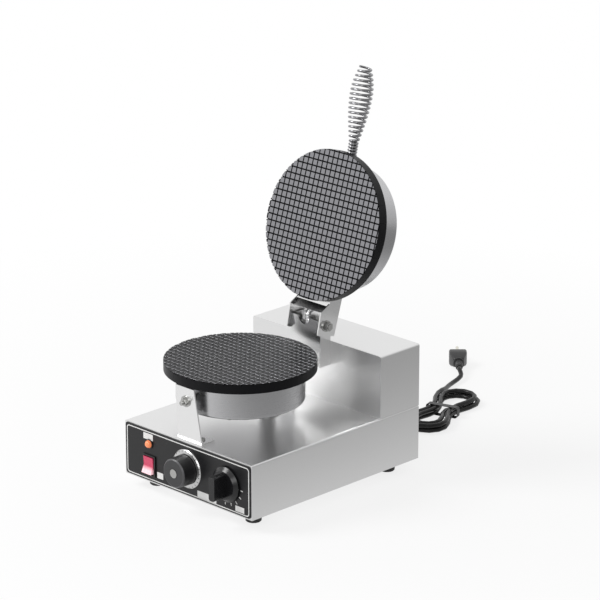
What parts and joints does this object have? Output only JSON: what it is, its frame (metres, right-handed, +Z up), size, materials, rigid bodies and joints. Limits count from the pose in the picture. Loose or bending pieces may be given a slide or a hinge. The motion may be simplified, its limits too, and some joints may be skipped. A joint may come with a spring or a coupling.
{
  "type": "electric krumkake iron",
  "caption": "Countertop cone baker: stainless base with control panel, fixed lower waffle griddle, hinged upper griddle with spring handle, rear housing and mains cord.",
  "frame": {"origin": "middle of the base, on the surface the rubber feet stand on", "axes": "+Z up, -Y towards the control panel and the user, +X to the user's right"},
  "size_m": [0.2742, 0.7382, 0.558],
  "materials": {
    "stainless_sheet": "satin stainless sheet",
    "clamp_steel": "plain steel",
    "zinc_fasteners": "bright",
    "feet_rubber": "matte",
    "panel_black": "satin black film on a plate",
    "griddle_coating": "cast, with a dark non-stick coating",
    "heater_tube": "oxidised",
    "ceramic_wool": "ceramic wool",
    "lamp_housing": "satin",
    "lamp_amber": "translucent orange",
    "switch_black": "satin",
    "rocker_red": "translucent red",
    "control_plastic": "moulded",
    "scale_aluminium": "turned",
    "timer_knob_plastic": "satin",
    "thermostat_knob_plastic": "glossy",
    "bulb_copper": "copper",
    "terminal_ceramic": "unglazed",
    "wire_insulation": "matte",
    "sleeve_foil": "flexible metal sleeve",
    "cord_black": "satin",
    "tie_black": "coated wire",
    "plug_brass": "bright",
    "handle_wire": "bright plated wire",
    "stud_steel": "dark thread"
  },
  "bodies": {
    "base": {"base_shell": "stainless_sheet", "bottom_plate": "stainless_sheet", "rear_housing": "stainless_sheet", "front_bracket": "stainless_sheet", "lower_drum": "stainless_sheet", "hinge_bracket": "stainless_sheet", "rear_support": "stainless_sheet", "lower_clamp_plate": "clamp_steel", "lower_conduit": "clamp_steel", "bottom_screws": "zinc_fasteners", "foot_screws": "zinc_fasteners", "housing_screws": "zinc_fasteners", "front_bracket_bolt": "zinc_fasteners", "rear_support_bolt": "zinc_fasteners", "lower_clamp_screws": "zinc_fasteners", "lower_drum_screws": "zinc_fasteners", "hinge_bracket_screws": "zinc_fasteners", "hinge_bolts": "zinc_fasteners", "timer_screws": "zinc_fasteners", "thermostat_screws": "zinc_fasteners", "feet": "feet_rubber", "front_panel": "panel_black", "lower_griddle": "griddle_coating", "lower_heater": "heater_tube", "lower_insulation": "ceramic_wool", "lamp_body": "lamp_housing", "lamp_lens": "lamp_amber", "switch_body": "switch_black", "timer_body": "control_plastic", "thermostat_body": "control_plastic", "timer_scale": "scale_aluminium", "thermostat_bulb": "bulb_copper", "terminal_block": "terminal_ceramic", "wiring": "wire_insulation", "wire_sleeve": "sleeve_foil", "power_cord": "cord_black", "cord_hank": "cord_black", "cord_gland": "cord_black", "plug_body": "cord_black", "cord_tie": "tie_black", "plug_pins": "plug_brass"},
    "lid": {"upper_griddle": "griddle_coating", "upper_drum": "stainless_sheet", "upper_heater": "heater_tube", "upper_clamp_plate": "clamp_steel", "upper_clamp_screws": "zinc_fasteners", "upper_insulation": "ceramic_wool", "upper_drum_screws": "zinc_fasteners", "lid_bracket": "stainless_sheet", "lid_bracket_rivets": "zinc_fasteners", "handle_stud": "stud_steel", "handle_spring": "handle_wire"},
    "rocker": {"switch_rocker": "rocker_red"},
    "timer": {"timer_shaft": "zinc_fasteners", "timer_knob": "timer_knob_plastic", "timer_knob_cap": "scale_aluminium"},
    "thermostat": {"thermostat_shaft": "zinc_fasteners", "thermostat_knob": "thermostat_knob_plastic"}
  },
  "joints": [
    {"name": "lid_hinge", "type": "hinge", "parent": "base", "child": "lid", "pos_m": [0, 0.074, 0.2117], "axis": [1, 0, 0], "range_deg": [0, 107], "deforming": ["wire_sleeve"]},
    {"name": "switch_rocker_tilt", "type": "hinge", "parent": "base", "child": "rocker", "pos_m": [-0.075, -0.162, 0.042], "axis": [1, 0, 0], "range_deg": [0, 18]},
    {"name": "timer_turn", "type": "hinge", "parent": "base", "child": "timer", "pos_m": [0, -0.163, 0.0575], "axis": [0, 1, 0], "range_deg": [0, 300]},
    {"name": "thermostat_turn", "type": "hinge", "parent": "base", "child": "thermostat", "pos_m": [0.078, -0.163, 0.0575], "axis": [0, 1, 0], "range_deg": [0, 270]}
  ]
}
